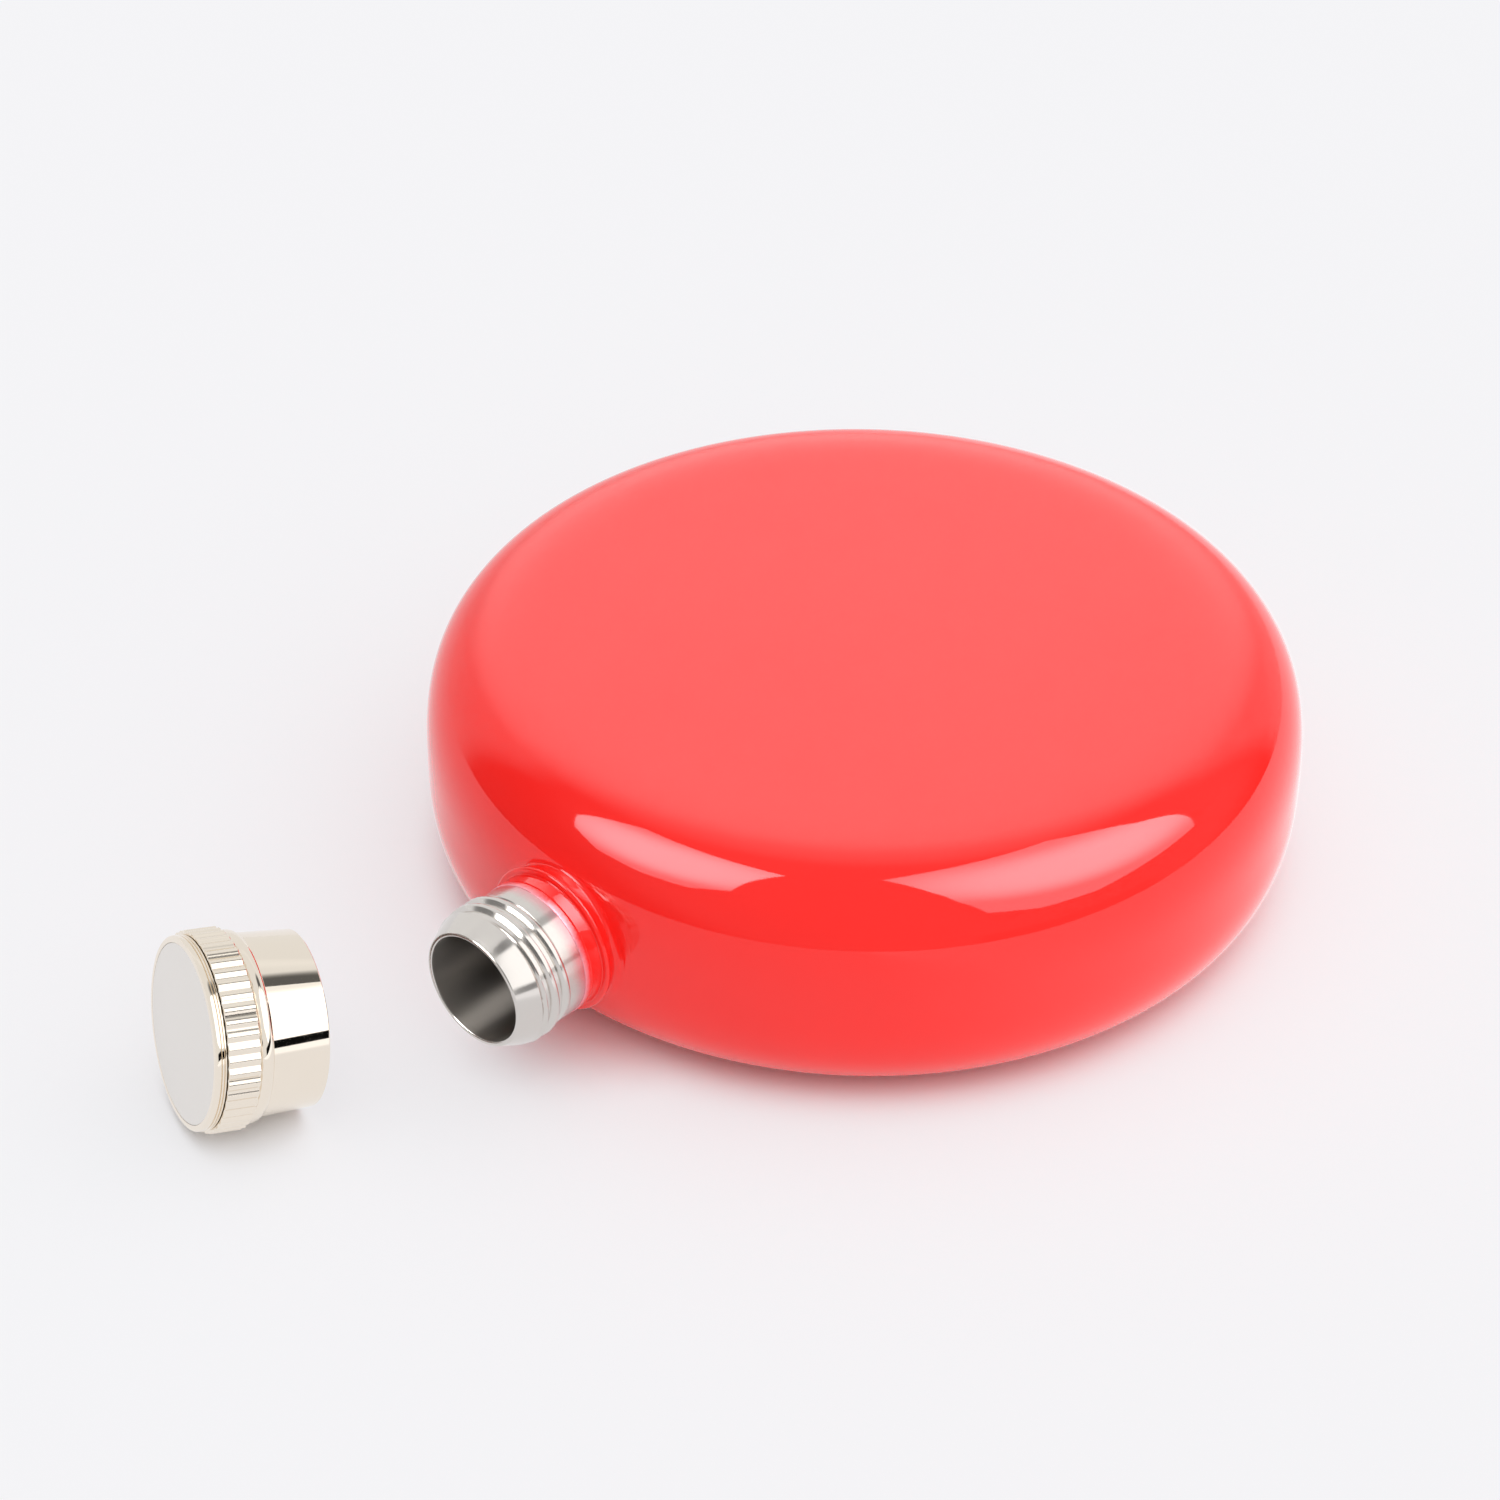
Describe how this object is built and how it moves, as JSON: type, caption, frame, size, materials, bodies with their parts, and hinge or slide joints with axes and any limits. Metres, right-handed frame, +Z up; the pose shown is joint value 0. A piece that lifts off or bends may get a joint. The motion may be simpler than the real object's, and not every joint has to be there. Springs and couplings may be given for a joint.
{
  "type": "round hip flask",
  "caption": "Round flat flask for spirits: a hollow lacquered steel vessel with a threaded neck, and its fluted screw cap taken off and lying by the mouth.",
  "frame": {"origin": "centre of the flask's lower flat face, which it lies on", "axes": "+Z up, out of the upper flat face; the neck and mouth point along -Y; the loose cap lies ahead of the mouth, towards -X"},
  "size_m": [0.095, 0.1341, 0.027],
  "materials": {
    "red_lacquer": "gloss red lacquer over steel",
    "raw_weld": "bare weld metal",
    "turned_steel": "turned and brushed stainless steel",
    "bright_nickel": "bright nickel plate",
    "fluted_nickel": "bright nickel plate over fine flutes",
    "satin_nickel": "satin nickel plate",
    "insert_metal": "rolled sheet steel",
    "pale_silicone": "matt silicone"
  },
  "bodies": {
    "flask": {"upper_shell": "red_lacquer", "lower_shell": "red_lacquer", "seam_weld": "raw_weld", "neck": "turned_steel", "neck_weld": "red_lacquer"},
    "cap_seal": {"seal": "pale_silicone"},
    "cap": {"cap_shell": "bright_nickel", "grip_ring": "fluted_nickel", "cap_disc": "satin_nickel", "thread_insert": "insert_metal"}
  },
  "joints": [
    {"name": "cap_carry", "type": "hinge", "parent": "flask", "child": "cap_seal", "pos_m": [-0.02479, -0.04902, 0.02931], "axis": [0.1757, -0.615, 0.7687], "range_deg": [0, 31.49]},
    {"name": "cap_turn", "type": "hinge", "parent": "cap_seal", "child": "cap", "pos_m": [-0.0186, -0.0825, 0.01103], "axis": [0.3856, 0.9084, -0.1614], "continuous": true}
  ]
}
